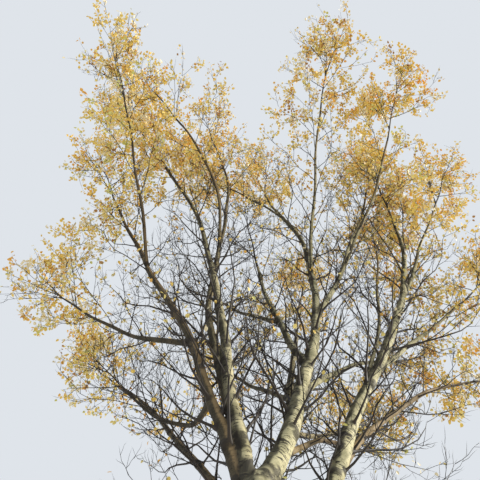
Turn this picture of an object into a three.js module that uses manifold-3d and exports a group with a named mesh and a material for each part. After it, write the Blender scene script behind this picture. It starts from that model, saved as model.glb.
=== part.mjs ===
// A grey poplar in late autumn: one trunk that forks low into a fan of pale stems, with a thin golden crown.
// Millimetres, +Z up. The origin is the centre of the flat cut at ground level, +X is right and +Y is away from the viewer.
import * as THREE from "three";
import { mergeVertices } from "three/addons/utils/BufferGeometryUtils.js";
import Module from "manifold-3d";

const solidKit = await Module();
solidKit.setup();
const { Manifold, Mesh: SolidMesh } = solidKit;

// Trunk: its height to the fork, how far the fork stands from the foot, and its radii.
const trunk = {
  name: "trunk",
  height: 4400,
  lean: new THREE.Vector3(-13, -200, 0),
  foot: 205,
  tip: 142,
  sides: 20,
  rings: 8,
  domeStart: 0.95, // where the top of the trunk begins to round over, as a share of its height
  domeFlat: 0.4, // what is left of its radius at the very top
};
const rootFlare = { swell: 150, reach: 380, lobes: 5, lobeDepth: 0.42 };

// Every limb grows from another one, a share of the way along it. Heading is the compass bearing in degrees from +Y
// towards +X and rise is the angle above level, both at the root. Turn and lift are how much they have changed by the
// tip. Root and tip are radii. A limb with a reach carries a mass of foliage of about that radius at its tip.
const limbTable = [
  { name: "stem_centre", on: "trunk", at: 0.98, heading: 57, rise: 64, turn: 28, lift: 17, length: 3450, root: 95, tip: 58 },
  { name: "leader", on: "stem_centre", at: 1, turn: 3, lift: 27, length: 3930, tip: 30 },
  { name: "leader_top", on: "leader", at: 1, turn: 8, lift: -22, length: 1500, tip: 20, reach: 1350 },
  { name: "leader_left", on: "leader", at: 0.9, heading: -110, rise: 42, turn: 31, lift: 16, length: 1880, root: 24, tip: 15, reach: 1250 },
  { name: "leader_near", on: "leader", at: 0.28, heading: 176, rise: 44, turn: -10, lift: 4, length: 3100, root: 31, tip: 17, reach: 1500 },
  { name: "bough_right_top", on: "stem_centre", at: 0.95, heading: 87, rise: 65, turn: 29, lift: 6, length: 4560, root: 44, tip: 20, reach: 1500 },
  { name: "bough_right_near", on: "bough_right_top", at: 0.22, heading: 140, rise: 42, turn: 10, lift: 12, length: 3100, root: 30, tip: 17, reach: 1450 },
  { name: "bough_centre_left", on: "stem_centre", at: 0.62, heading: -59, rise: 72, turn: -82, lift: 7, length: 2580, root: 54, tip: 22, reach: 1150 },
  { name: "bough_centre_low_left", on: "bough_centre_left", at: 0.42, heading: -64, rise: 43, turn: 10, lift: 19, length: 1620, root: 31, tip: 17, reach: 1150 },
  { name: "bough_centre_right", on: "stem_centre", at: 0.42, heading: 49, rise: 57, turn: 8, lift: -22, length: 2800, root: 45, tip: 22, reach: 1250 },
  { name: "bough_centre_low", on: "stem_centre", at: 0.14, heading: 42, rise: 48, turn: -6, lift: -20, length: 2090, root: 34, tip: 18, reach: 1150 },
  { name: "stem_left", on: "trunk", at: 0.96, heading: -103, rise: 81, turn: 22, lift: 3, length: 3070, root: 74, tip: 48 },
  { name: "bough_left_top", on: "stem_left", at: 1, turn: -44, lift: -33, length: 5130, tip: 20, reach: 1450 },
  { name: "bough_left_inner", on: "stem_left", at: 0.25, heading: -69, rise: 74, turn: 24, lift: 27, length: 3980, root: 52, tip: 33 },
  { name: "bough_inner_top", on: "bough_left_inner", at: 1, turn: 90, lift: 9, length: 3160, tip: 17, reach: 1250 },
  { name: "bough_inner_near", on: "bough_left_inner", at: 0.93, heading: -187, rise: 59, turn: 58, lift: -17, length: 2920, root: 28, tip: 17, reach: 1300 },
  { name: "stem_outer_left", on: "trunk", at: 0.88, heading: -102, rise: 79, turn: 14, lift: -14, length: 3460, root: 60, tip: 43 },
  { name: "bough_outer_left_top", on: "stem_outer_left", at: 1, turn: -26, lift: -1, length: 2750, tip: 21, reach: 1450 },
  { name: "bough_left_near", on: "bough_outer_left_top", at: 0.35, heading: 190, rise: 40, turn: 14, lift: 12, length: 2800, root: 27, tip: 16, reach: 1450 },
  { name: "bough_left_side", on: "stem_outer_left", at: 0.7, heading: -58, rise: 36, turn: -22, lift: 10, length: 2600, root: 35, tip: 19, reach: 1400 },
  { name: "bough_left_low", on: "stem_outer_left", at: 0.42, heading: -13, rise: 21, turn: -65, lift: 28, length: 2630, root: 34, tip: 18, reach: 1250 },
  { name: "bough_far_left", on: "trunk", at: 0.82, heading: -23, rise: 60, turn: -36, lift: -12, length: 5440, root: 52, tip: 21, reach: 1400 },
  { name: "stem_far", on: "trunk", at: 0.9, heading: 22, rise: 60, turn: 8, lift: 14, length: 3900, root: 66, tip: 44 },
  { name: "bough_far_top", on: "stem_far", at: 1, turn: 10, lift: 0, length: 3000, tip: 20, reach: 1500 },
  { name: "bough_far_side", on: "stem_far", at: 0.72, heading: -38, rise: 50, turn: 14, lift: 6, length: 2600, root: 34, tip: 19, reach: 1350 },
  { name: "bough_far_right", on: "stem_far", at: 0.5, heading: 40, rise: 34, turn: -14, lift: 10, length: 2700, root: 34, tip: 19, reach: 1450 },
  { name: "stem_right", on: "trunk", at: 0.76, heading: 57, rise: 61, turn: 38, lift: 2, length: 5120, root: 88, tip: 60 },
  { name: "bough_right_inner", on: "stem_right", at: 1, turn: 100, lift: 1, length: 2650, tip: 21, reach: 1300 },
  { name: "bough_right_outer", on: "stem_right", at: 0.94, heading: 89, rise: 64, turn: 26, lift: -4, length: 3840, root: 40, tip: 20, reach: 1450 },
  { name: "bough_right_side", on: "stem_right", at: 0.72, heading: 64, rise: 49, turn: 30, lift: -7, length: 2810, root: 40, tip: 20, reach: 1350 },
  { name: "bough_right_low", on: "stem_right", at: 0.3, heading: 50, rise: 57, turn: 17, lift: -27, length: 4880, root: 45, tip: 20, reach: 1300 },
  { name: "bough_right_thin", on: "stem_right", at: 0.62, heading: 72, rise: 67, turn: 5, lift: 13, length: 5090, root: 30, tip: 17, reach: 1100 },
];

const joint = {
  gap: 0.3, // clear space between one piece and the next
  offCentre: 0.4, // how far towards its own side a limb starts inside the one that carries it, as a share of its radius
  collarSwell: 0.3, // extra radius where a limb leaves the one that carries it
  collarReach: 2.2, // how far the collar fades, in root radii
};
const sway = { share: 0.008, waves: 1.5 }; // a limb's gentle wander, as a share of its length
const ringCrowding = 1.5; // crowds a limb's rings towards its root

// Foliage: one stem per mass, side twigs round it that fork once, and flat sprays of leaves on the twigs.
const foliage = {
  centreAhead: 0.72, // where the middle of a mass lies past its bough's tip, in reaches
  stemLength: 1.5, // in reaches, as the twigs' lengths are
  stemTip: 11,
  stemSides: 4,
  stemRings: 3,
  upwards: 0.22, // how strongly twigs turn towards the light
};
const twig = { count: 6, first: 0.14, last: 0.94, length: 1.02, shortening: 0.42, spread: 50 };
const sideTwig = { at: 0.42, share: 0.62, spread: 55 };
const twigThinning = 0.64; // a twig's radius at its root, as a share of what carries it there
const spray = { length: 440, width: 310, thickness: 12, widestAt: 0.42, spread: 68, tilt: 12, apart: 275 };
const spraysOnTwig = [0.36, 0.56, 0.76, 0.96]; // the last is at the tip
const spraysOnSideTwig = [0.55, 0.94];
const tries = [1, 0.8, 0.62]; // a twig or spray that doesn't fit is tried at these sizes before it is left out
const clearOfNeighbours = 6;
const clearOfLimbs = 45;
const goldenAngle = 137.5;

const barkColour = 0xb9b08f;
const leafColours = [0xe3a72c, 0xedbb45, 0xd4922a, 0xf0c765];

// Mulberry32: the same numbers on every run from one seed.
function seededRandom(seed) {
  let state = seed >>> 0;
  return () => {
    state = (state + 0x6d2b79f5) >>> 0;
    let mixed = Math.imul(state ^ (state >>> 15), state | 1);
    mixed ^= mixed + Math.imul(mixed ^ (mixed >>> 7), mixed | 61);
    return ((mixed ^ (mixed >>> 14)) >>> 0) / 4294967296;
  };
}

function direction(heading, rise) {
  const bearing = THREE.MathUtils.degToRad(heading);
  const climb = THREE.MathUtils.degToRad(rise);
  return new THREE.Vector3(
    Math.sin(bearing) * Math.cos(climb),
    Math.cos(bearing) * Math.cos(climb),
    Math.sin(climb),
  );
}

// A geometry as a solid. Seams are merged first, so only the positions are kept.
function solidOf(geometry) {
  const bare = geometry.clone();
  bare.deleteAttribute("normal");
  bare.deleteAttribute("uv");
  const merged = mergeVertices(bare, 1e-3);
  return new Manifold(
    new SolidMesh({
      numProp: 3,
      vertProperties: merged.attributes.position.array,
      triVerts: new Uint32Array(merged.index.array),
    }),
  );
}

function geometryOf(solid) {
  const { numProp, vertProperties, triVerts } = solid.getMesh();
  const geometry = new THREE.BufferGeometry();
  const stride = new THREE.InterleavedBuffer(vertProperties, numProp);
  geometry.setAttribute("position", new THREE.InterleavedBufferAttribute(stride, 3, 0));
  geometry.setIndex(new THREE.BufferAttribute(triVerts, 1));
  const flat = geometry.toNonIndexed();
  flat.computeVertexNormals();
  return flat;
}

function largestPiece(solid) {
  return solid.decompose().sort((a, b) => b.volume() - a.volume())[0];
}

// A cylinder bent along a path. place(share) gives the middle, direction and radius there, and shape(angle, share)
// swells or pinches the section.
function bentCylinder(sides, rings, place, shape = () => 1) {
  const geometry = new THREE.CylinderGeometry(1, 1, 1, sides, rings);
  const position = geometry.attributes.position;
  const corner = new THREE.Vector3();
  for (let i = 0; i < position.count; i++) {
    corner.fromBufferAttribute(position, i);
    const share = Math.round((corner.y + 0.5) * rings) / rings;
    const { middle, along, radius } = place(share);
    const across = new THREE.Vector3(0, 1, 0).addScaledVector(along, -along.y).normalize();
    const beside = new THREE.Vector3().crossVectors(along, across);
    const swell = radius * shape(Math.atan2(corner.z, corner.x), share);
    const moved = middle
      .clone()
      .addScaledVector(beside, corner.x * swell)
      .addScaledVector(across, corner.z * swell);
    position.setXYZ(i, moved.x, moved.y, moved.z);
  }
  return solidOf(geometry);
}

function trunkPlace(share) {
  const middle = trunk.lean.clone().multiplyScalar(share * share);
  middle.z = trunk.height * share;
  const along = trunk.lean.clone().multiplyScalar(2 * share);
  along.z = trunk.height;
  const radius = THREE.MathUtils.lerp(trunk.foot, trunk.tip, share);
  return { middle, along: share ? along.normalize() : new THREE.Vector3(0, 0, 1), radius };
}

// The root flare: lobed buttresses at the ground that fade up the trunk.
function flareShape(angle, share) {
  const fade = Math.exp((-share * trunk.height) / rootFlare.reach);
  const lobe = 1 + rootFlare.lobeDepth * Math.cos(rootFlare.lobes * angle + share * 3);
  return 1 + (rootFlare.swell / trunk.foot) * fade * lobe;
}

// The crotch: the top of the trunk rounds over between the stems that leave it.
function domeShape(share) {
  const past = Math.max(0, (share - trunk.domeStart) / (1 - trunk.domeStart));
  return Math.sqrt(1 - past * past * (1 - trunk.domeFlat ** 2));
}

function trunkSolid(grow = 0) {
  const crowd = (share) => (1 - Math.cos(Math.PI * share)) / 2;
  const place = (share) => {
    const spot = trunkPlace(crowd(share));
    spot.radius += grow;
    if (share === 1) spot.middle.addScaledVector(spot.along, grow);
    return spot;
  };
  const shape = (angle, share) => flareShape(angle, crowd(share)) * domeShape(crowd(share));
  return bentCylinder(trunk.sides, trunk.rings, place, shape);
}

// Where a limb's line runs: it leaves in one direction and turns steadily into another, with a slight wander.
function limbPlace(limb, share) {
  const late = (share * share) / 2;
  const middle = limb.origin
    .clone()
    .addScaledVector(limb.leaving, limb.length * (share - late))
    .addScaledVector(limb.arriving, limb.length * late);
  const wander = sway.share * limb.length * Math.sin(Math.PI * share);
  const phase = 2 * Math.PI * (sway.waves * share + limb.phase);
  middle.x += wander * Math.sin(phase);
  middle.y += wander * Math.cos(phase);
  const along = limb.leaving.clone().lerp(limb.arriving, share).normalize();
  const collar = limb.swell * Math.exp((-share * limb.length) / (joint.collarReach * limb.root));
  return { middle, along, radius: THREE.MathUtils.lerp(limb.root, limb.tip, share) * (1 + collar) };
}

function placeOn(limb, share) {
  return limb === trunk ? trunkPlace(share) : limbPlace(limb, share);
}

// Works out each limb's start and directions from the limb that carries it.
function layOutLimbs() {
  const known = { trunk };
  limbTable.forEach((row, index) => {
    const carrier = known[row.on];
    const spot = placeOn(carrier, row.at);
    const carriesOn = row.at === 1;
    const heading = carriesOn ? carrier.heading + carrier.turn : row.heading;
    const rise = carriesOn ? carrier.rise + carrier.lift : row.rise;
    const leaving = direction(heading, rise);
    const sideways = leaving.clone().addScaledVector(spot.along, -leaving.dot(spot.along));
    const origin = carriesOn
      ? spot.middle.clone().addScaledVector(leaving, joint.gap)
      : spot.middle.clone().addScaledVector(sideways.normalize(), spot.radius * joint.offCentre);
    known[row.name] = {
      ...row,
      heading,
      rise,
      index,
      origin,
      leaving,
      arriving: direction(heading + row.turn, rise + row.lift),
      root: carriesOn ? carrier.tip : row.root,
      swell: carriesOn ? 0 : joint.collarSwell,
      phase: (index * goldenAngle) / 360,
    };
  });
  return Object.values(known).slice(1);
}

function limbSolid(limb, grow = 0) {
  const sides = limb.root > 55 ? 8 : limb.root > 40 ? 6 : 5;
  const rings = limb.length > 3000 ? 6 : 5;
  const place = (share) => {
    const spot = limbPlace(limb, share ** ringCrowding);
    spot.radius += grow / Math.cos(Math.PI / sides);
    if (share === 0 || share === 1) spot.middle.addScaledVector(spot.along, share ? grow : -grow);
    return spot;
  };
  return bentCylinder(sides, rings, place);
}

function boxesMeet(a, b) {
  const boxA = a.boundingBox();
  const boxB = b.boundingBox();
  return [0, 1, 2].every((k) => boxA.min[k] <= boxB.max[k] && boxB.min[k] <= boxA.max[k]);
}

// Each limb is cut clear of the trunk and of the limbs before it, so that they meet with a thin gap.
function limbSolids(limbs) {
  const grown = [trunkSolid(joint.gap)];
  return limbs.map((limb) => {
    let solid = limbSolid(limb);
    for (const other of grown) {
      if (boxesMeet(solid, other)) solid = solid.subtract(other);
    }
    grown.push(limbSolid(limb, joint.gap));
    return largestPiece(solid);
  });
}

// The masses of foliage: each has a middle, a reach, and the share of space nearer to it than to any other.
function layOutMasses(limbs) {
  return limbs
    .filter((limb) => limb.reach)
    .map((limb) => {
      const tip = limbPlace(limb, 1);
      const stem = {
        origin: tip.middle.clone().addScaledVector(limb.arriving, joint.gap),
        leaving: limb.arriving,
        arriving: limb.arriving.clone().add(new THREE.Vector3(0, 0, foliage.upwards)).normalize(),
        length: limb.reach * foliage.stemLength,
        root: limb.tip,
        tip: foliage.stemTip,
        swell: 0,
        phase: limb.phase,
      };
      const middle = tip.middle.clone().addScaledVector(limb.arriving, limb.reach * foliage.centreAhead);
      return { name: limb.name, middle, reach: limb.reach, stem, seed: 7001 + 97 * limb.index };
    });
}

function insideOwnSpace(point, mass, masses, margin) {
  const own = point.distanceToSquared(mass.middle) - mass.reach ** 2;
  if (own > 0) return false;
  return masses.every((other) => {
    if (other === mass) return true;
    const theirs = point.distanceToSquared(other.middle) - other.reach ** 2;
    return theirs - own > 2 * margin * mass.middle.distanceTo(other.middle);
  });
}

function clearOfEveryLimb(point, limbSpots, margin) {
  return limbSpots.every((spot) => point.distanceTo(spot.middle) > spot.radius + margin);
}

// A three-sided twig that tapers to a point.
function twigSolid(from, along, length, radius) {
  const cone = new THREE.ConeGeometry(radius, length, 3, 1);
  cone.translate(0, length / 2, 0);
  cone.applyQuaternion(new THREE.Quaternion().setFromUnitVectors(new THREE.Vector3(0, 1, 0), along));
  cone.translate(from.x, from.y, from.z);
  return solidOf(cone);
}

// A spray of leaves as one blade: a thin four-faced kite with a ridge along it, whose root lies on the twig's line.
function sprayGeometry(from, along, across, scale) {
  const { length, width, thickness, widestAt } = spray;
  const up = new THREE.Vector3().crossVectors(across, along);
  const corner = (x, y, z) =>
    from
      .clone()
      .addScaledVector(across, x * width * scale)
      .addScaledVector(along, y * length * scale)
      .addScaledVector(up, z * thickness);
  const corners = [corner(0, 0, 0), corner(0, 1, 0.5), corner(-0.5, widestAt, -0.5), corner(0.5, widestAt, -0.5)];
  const blade = new THREE.BufferGeometry().setFromPoints(corners);
  blade.setIndex([0, 2, 3, 1, 3, 2, 0, 3, 1, 0, 1, 2]);
  return blade;
}

function geometryCorners(geometry) {
  const position = geometry.attributes.position;
  return Array.from({ length: position.count }, (_, i) => new THREE.Vector3().fromBufferAttribute(position, i));
}

// Sideways off a twig or stem: a spread angle away from its line, at a turn round it, leaning up to the light.
function sideDirection(along, turn, spread) {
  const level = Math.abs(along.z) < 0.9 ? new THREE.Vector3(0, 0, 1) : new THREE.Vector3(1, 0, 0);
  const side = new THREE.Vector3().crossVectors(along, level).normalize();
  side.applyAxisAngle(along, THREE.MathUtils.degToRad(turn));
  const angle = THREE.MathUtils.degToRad(spread);
  const out = along.clone().multiplyScalar(Math.cos(angle)).addScaledVector(side, Math.sin(angle));
  out.z += foliage.upwards;
  return out.normalize();
}

function massSolid(mass, masses, limbSpots) {
  const nearSpots = limbSpots.filter((spot) => spot.middle.distanceTo(mass.middle) < mass.reach * 1.3);
  const fits = (points, limbMargin) =>
    points.every(
      (point) =>
        insideOwnSpace(point, mass, masses, clearOfNeighbours) && clearOfEveryLimb(point, nearSpots, limbMargin),
    );

  const stemFits = () => fits([0.5, 0.7, 0.85, 1].map((share) => limbPlace(mass.stem, share).middle), 20);
  while (!stemFits() && mass.stem.length > 200) mass.stem.length *= 0.85;
  const pieces = [bentCylinder(foliage.stemSides, foliage.stemRings, (share) => limbPlace(mass.stem, share))];
  const hearts = [];

  function addSpray(from, along, beside, tilt) {
    const across = beside.clone().addScaledVector(along, -beside.dot(along)).normalize();
    across.applyAxisAngle(along, THREE.MathUtils.degToRad(tilt));
    for (const scale of tries) {
      const geometry = sprayGeometry(from, along, across, scale);
      const heart = from.clone().addScaledVector(along, spray.length * scale * spray.widestAt);
      const apart = hearts.every((other) => other.distanceTo(heart) > spray.apart * (0.4 + 0.6 * scale));
      if (apart && fits(geometryCorners(geometry), clearOfLimbs) && fits([heart], spray.width * scale * 0.45)) {
        pieces.push(solidOf(geometry));
        hearts.push(heart);
        return;
      }
    }
  }

  // A twig with its sprays, one at its tip and the others by turns on either side. Gives its length, or nothing.
  function addTwig(from, along, length, radius, sprays, turn) {
    for (const scale of tries) {
      const reach = length * scale;
      const stations = [0.3, 0.5, 0.7, 0.9, 1].map((share) => from.clone().addScaledVector(along, reach * share));
      if (!fits(stations, clearOfLimbs)) continue;
      pieces.push(twigSolid(from, along, reach, radius));
      sprays.forEach((share, i) => {
        const side = sideDirection(along, turn + 180 * i, spray.spread);
        const isTip = i === sprays.length - 1;
        const tilt = spray.tilt * Math.sin(turn + 2 * i);
        addSpray(from.clone().addScaledVector(along, reach * share), isTip ? along : side, isTip ? side : along, tilt);
      });
      return reach;
    }
    return 0;
  }

  for (let i = 0; i < twig.count; i++) {
    const random = seededRandom(mass.seed + i);
    const [stretch, turn, sideTurn] = [0.85 + 0.25 * random(), 360 * random(), 360 * random()];
    const share = THREE.MathUtils.lerp(twig.first, twig.last, i / (twig.count - 1));
    const { middle, along, radius } = limbPlace(mass.stem, share);
    const out = sideDirection(along, i * goldenAngle + mass.seed, twig.spread * (1.1 - 0.4 * share));
    const length = mass.reach * (twig.length - twig.shortening * share) * stretch;
    const grown = addTwig(middle, out, length, radius * twigThinning, spraysOnTwig, turn);
    if (!grown) continue;
    const fork = middle.clone().addScaledVector(out, grown * sideTwig.at);
    const sideOut = sideDirection(out, sideTurn, sideTwig.spread);
    const sideRadius = radius * twigThinning * (1 - sideTwig.at) * twigThinning;
    addTwig(fork, sideOut, grown * sideTwig.share, sideRadius, spraysOnSideTwig, sideTurn);
  }
  const crown = limbPlace(mass.stem, 0.96);
  addSpray(crown.middle, crown.along, sideDirection(crown.along, mass.seed, spray.spread), 0);
  return largestPiece(Manifold.union(pieces));
}

// Points along every limb, close enough together to keep twigs and sprays off it.
function spotsAlong(limbs) {
  const step = 120;
  return limbs.flatMap((limb) => {
    const count = Math.ceil(limb.length / step);
    return Array.from({ length: count + 1 }, (_, i) => limbPlace(limb, i / count));
  });
}

function meshOf(name, solid, colour, roughness) {
  const material = new THREE.MeshStandardMaterial({ color: colour, roughness, metalness: 0 });
  const mesh = new THREE.Mesh(geometryOf(solid), material);
  mesh.name = name;
  return mesh;
}

function buildTree() {
  const tree = new THREE.Group();
  const limbs = layOutLimbs();
  const masses = layOutMasses(limbs);
  const limbSpots = spotsAlong(limbs);
  tree.add(meshOf(trunk.name, trunkSolid(), barkColour, 0.85));
  limbSolids(limbs).forEach((solid, i) => tree.add(meshOf(limbs[i].name, solid, barkColour, 0.8)));
  masses.forEach((mass, i) => {
    const colour = leafColours[i % leafColours.length];
    tree.add(meshOf(`foliage_${mass.name}`, massSolid(mass, masses, limbSpots), colour, 0.6));
  });
  return tree;
}

export default buildTree();
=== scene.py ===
# A poplar in late autumn, seen from under its crown: bark in relief, fine twigs and the last golden leaves.
# Metres, +Z up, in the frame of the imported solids. +X is right and +Y is away from the viewer.
import math
import bpy
import numpy as np
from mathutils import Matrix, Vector


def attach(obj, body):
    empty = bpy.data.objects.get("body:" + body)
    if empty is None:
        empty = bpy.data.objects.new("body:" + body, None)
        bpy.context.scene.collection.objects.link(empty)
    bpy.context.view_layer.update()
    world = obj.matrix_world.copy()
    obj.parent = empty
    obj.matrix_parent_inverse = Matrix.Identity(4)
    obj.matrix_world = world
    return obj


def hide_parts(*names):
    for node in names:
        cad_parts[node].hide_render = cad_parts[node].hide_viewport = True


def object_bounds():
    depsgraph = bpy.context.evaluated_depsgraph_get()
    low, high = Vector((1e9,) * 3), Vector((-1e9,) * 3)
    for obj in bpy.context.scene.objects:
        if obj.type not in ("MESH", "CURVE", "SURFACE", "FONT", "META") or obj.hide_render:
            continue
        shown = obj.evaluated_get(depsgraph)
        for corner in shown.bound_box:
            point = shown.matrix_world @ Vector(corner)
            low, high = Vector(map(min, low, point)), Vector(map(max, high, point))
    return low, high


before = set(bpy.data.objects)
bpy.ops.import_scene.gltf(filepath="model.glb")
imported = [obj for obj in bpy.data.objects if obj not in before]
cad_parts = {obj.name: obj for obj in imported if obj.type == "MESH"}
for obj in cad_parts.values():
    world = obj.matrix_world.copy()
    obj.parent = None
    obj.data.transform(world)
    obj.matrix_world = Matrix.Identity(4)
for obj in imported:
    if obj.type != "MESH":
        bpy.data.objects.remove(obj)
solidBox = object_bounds()
boxLow = np.array(solidBox[0])
boxHigh = np.array(solidBox[1])
print("frame loaded:", len(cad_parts), "solids")

# The limbs, laid out by the same rule and sizes as the solids.

trunk = {
    "name": "trunk",
    "height": 4.4,
    "lean": np.array([-0.013, -0.2, 0.0]),  # how far the fork stands from the foot
    "foot": 0.205,
    "tip": 0.142,
    "domeStart": 0.95,
    "domeFlat": 0.4,
    "flareSwell": 0.15,
    "flareReach": 0.38,
    "flareLobes": 5,
    "flareDepth": 0.42,
}

# A row for each limb. Heading is the bearing from +Y towards +X and rise the angle above level as it leaves,
# and turn and lift are their change by the tip. A limb at 1 carries its carrier on, and takes its heading,
# rise and root from it. Reach is that of the foliage at the tip.
limbColumns = ("name", "on", "at", "heading", "rise", "turn", "lift", "length", "root", "tip", "reach")
limbTable = [
    ("stem_centre", "trunk", 0.98, 57, 64, 28, 17, 3.45, 0.095, 0.058, None),
    ("leader", "stem_centre", 1, None, None, 3, 27, 3.93, None, 0.03, None),
    ("leader_top", "leader", 1, None, None, 8, -22, 1.5, None, 0.02, 1.35),
    ("leader_left", "leader", 0.9, -110, 42, 31, 16, 1.88, 0.024, 0.015, 1.25),
    ("leader_near", "leader", 0.28, 176, 44, -10, 4, 3.1, 0.031, 0.017, 1.5),
    ("bough_right_top", "stem_centre", 0.95, 87, 65, 29, 6, 4.56, 0.044, 0.02, 1.5),
    ("bough_right_near", "bough_right_top", 0.22, 140, 42, 10, 12, 3.1, 0.03, 0.017, 1.45),
    ("bough_centre_left", "stem_centre", 0.62, -59, 72, -82, 7, 2.58, 0.054, 0.022, 1.15),
    ("bough_centre_low_left", "bough_centre_left", 0.42, -64, 43, 10, 19, 1.62, 0.031, 0.017, 1.15),
    ("bough_centre_right", "stem_centre", 0.42, 49, 57, 8, -22, 2.8, 0.045, 0.022, 1.25),
    ("bough_centre_low", "stem_centre", 0.14, 42, 48, -6, -20, 2.09, 0.034, 0.018, 1.15),
    ("stem_left", "trunk", 0.96, -103, 81, 22, 3, 3.07, 0.074, 0.048, None),
    ("bough_left_top", "stem_left", 1, None, None, -44, -33, 5.13, None, 0.02, 1.45),
    ("bough_left_inner", "stem_left", 0.25, -69, 74, 24, 27, 3.98, 0.052, 0.033, None),
    ("bough_inner_top", "bough_left_inner", 1, None, None, 90, 9, 3.16, None, 0.017, 1.25),
    ("bough_inner_near", "bough_left_inner", 0.93, -187, 59, 58, -17, 2.92, 0.028, 0.017, 1.3),
    ("stem_outer_left", "trunk", 0.88, -102, 79, 14, -14, 3.46, 0.06, 0.043, None),
    ("bough_outer_left_top", "stem_outer_left", 1, None, None, -26, -1, 2.75, None, 0.021, 1.45),
    ("bough_left_near", "bough_outer_left_top", 0.35, 190, 40, 14, 12, 2.8, 0.027, 0.016, 1.45),
    ("bough_left_side", "stem_outer_left", 0.7, -58, 36, -22, 10, 2.6, 0.035, 0.019, 1.4),
    ("bough_left_low", "stem_outer_left", 0.42, -13, 21, -65, 28, 2.63, 0.034, 0.018, 1.25),
    ("bough_far_left", "trunk", 0.82, -23, 60, -36, -12, 5.44, 0.052, 0.021, 1.4),
    ("stem_far", "trunk", 0.9, 22, 60, 8, 14, 3.9, 0.066, 0.044, None),
    ("bough_far_top", "stem_far", 1, None, None, 10, 0, 3.0, None, 0.02, 1.5),
    ("bough_far_side", "stem_far", 0.72, -38, 50, 14, 6, 2.6, 0.034, 0.019, 1.35),
    ("bough_far_right", "stem_far", 0.5, 40, 34, -14, 10, 2.7, 0.034, 0.019, 1.45),
    ("stem_right", "trunk", 0.76, 57, 61, 38, 2, 5.12, 0.088, 0.06, None),
    ("bough_right_inner", "stem_right", 1, None, None, 100, 1, 2.65, None, 0.021, 1.3),
    ("bough_right_outer", "stem_right", 0.94, 89, 64, 26, -4, 3.84, 0.04, 0.02, 1.45),
    ("bough_right_side", "stem_right", 0.72, 64, 49, 30, -7, 2.81, 0.04, 0.02, 1.35),
    ("bough_right_low", "stem_right", 0.3, 50, 57, 17, -27, 4.88, 0.045, 0.02, 1.3),
    ("bough_right_thin", "stem_right", 0.62, 72, 67, 5, 13, 5.09, 0.03, 0.017, 1.1),
]

joint = {"gap": 0.0003, "offCentre": 0.4, "collarSwell": 0.3, "collarReach": 2.2}
sway = {"share": 0.008, "waves": 1.5}
upwards = 0.22  # how strongly twigs turn towards the light
goldenAngle = 137.5
right, ahead, up = np.eye(3)


def unit(vectors):
    return vectors / np.linalg.norm(vectors, axis=-1, keepdims=True)


def direction(heading, rise):
    bearing = math.radians(heading)
    climb = math.radians(rise)
    level = math.cos(climb)
    return np.array([math.sin(bearing) * level, math.cos(bearing) * level, math.sin(climb)])


# Middles, directions and radii of the trunk or a limb at an array of shares of its length.
def placeOn(limb, share):
    share = np.atleast_1d(np.asarray(share, float))
    column = share[:, None]
    if limb["name"] == "trunk":
        middle = trunk["lean"] * column**2 + up * trunk["height"] * column
        along = unit(trunk["lean"] * 2 * column + up * trunk["height"])
        return middle, along, trunk["foot"] + (trunk["tip"] - trunk["foot"]) * share
    late = column**2 / 2
    middle = limb["origin"] + limb["length"] * (limb["leaving"] * (column - late) + limb["arriving"] * late)
    wander = sway["share"] * limb["length"] * np.sin(math.pi * share)
    phase = 2 * math.pi * (sway["waves"] * share + limb["phase"])
    middle[:, 0] += wander * np.sin(phase)
    middle[:, 1] += wander * np.cos(phase)
    along = unit(limb["leaving"] * (1 - column) + limb["arriving"] * column)
    collar = limb["swell"] * np.exp(-share * limb["length"] / (joint["collarReach"] * limb["root"]))
    return middle, along, (limb["root"] + (limb["tip"] - limb["root"]) * share) * (1 + collar)


# The same at a single share.
def spotOn(limb, share):
    return (part[0] for part in placeOn(limb, share))


def layOutLimbs():
    known = {"trunk": trunk}
    trunk.update(chain=0, startArc=0.0, length=trunk["height"])
    for index, row in enumerate(limbTable):
        limb = dict(zip(limbColumns, row))
        carrier = known[limb["on"]]
        carriesOn = limb["at"] == 1
        if carriesOn:
            limb["heading"] = carrier["heading"] + carrier["turn"]
            limb["rise"] = carrier["rise"] + carrier["lift"]
            limb["root"] = carrier["tip"]
        leaving = direction(limb["heading"], limb["rise"])
        middle, along, radius = spotOn(carrier, limb["at"])
        origin = middle + leaving * joint["gap"]
        if not carriesOn:
            sideways = unit(leaving - leaving.dot(along) * along)
            origin = middle + sideways * radius * joint["offCentre"]
        limb.update(
            index=index,
            origin=origin,
            leaving=leaving,
            arriving=direction(limb["heading"] + limb["turn"], limb["rise"] + limb["lift"]),
            swell=0.0 if carriesOn else joint["collarSwell"],
            phase=index * goldenAngle / 360,
            # limbs that carry each other on share one chain
            chain=carrier["chain"] if carriesOn else index + 1,
            startArc=carrier["startArc"] + carrier["length"] if carriesOn else 0.0,
        )
        known[limb["name"]] = limb
    return known


knownLimbs = layOutLimbs()
everyLimb = list(knownLimbs.values())
limbs = everyLimb[1:]
print("limbs laid out:", len(limbs))


def addObject(name, data):
    added = bpy.data.objects.new(name, data)
    bpy.context.collection.objects.link(added)
    return added


def deselectAll():
    if bpy.context.object and bpy.context.object.mode != "OBJECT":
        bpy.ops.object.mode_set(mode="OBJECT")
    bpy.ops.object.select_all(action="DESELECT")


def makeActive(piece):
    deselectAll()
    piece.select_set(True)
    bpy.context.view_layer.objects.active = piece


def applyModifier(piece, kind, **settings):
    makeActive(piece)
    modifier = piece.modifiers.new(kind.title(), kind)
    for name, value in settings.items():
        setattr(modifier, name, value)
    bpy.ops.object.modifier_apply(modifier=modifier.name)


def pointsOf(piece):
    points = np.empty(len(piece.data.vertices) * 3)
    piece.data.vertices.foreach_get("co", points)
    return points.reshape(-1, 3)


def movePoints(piece, points):
    piece.data.vertices.foreach_set("co", points.ravel())
    piece.data.update()


def smoothStep(value, low, high):
    share = np.clip((value - low) / (high - low), 0, 1)
    return share * share * (3 - 2 * share)


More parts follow.
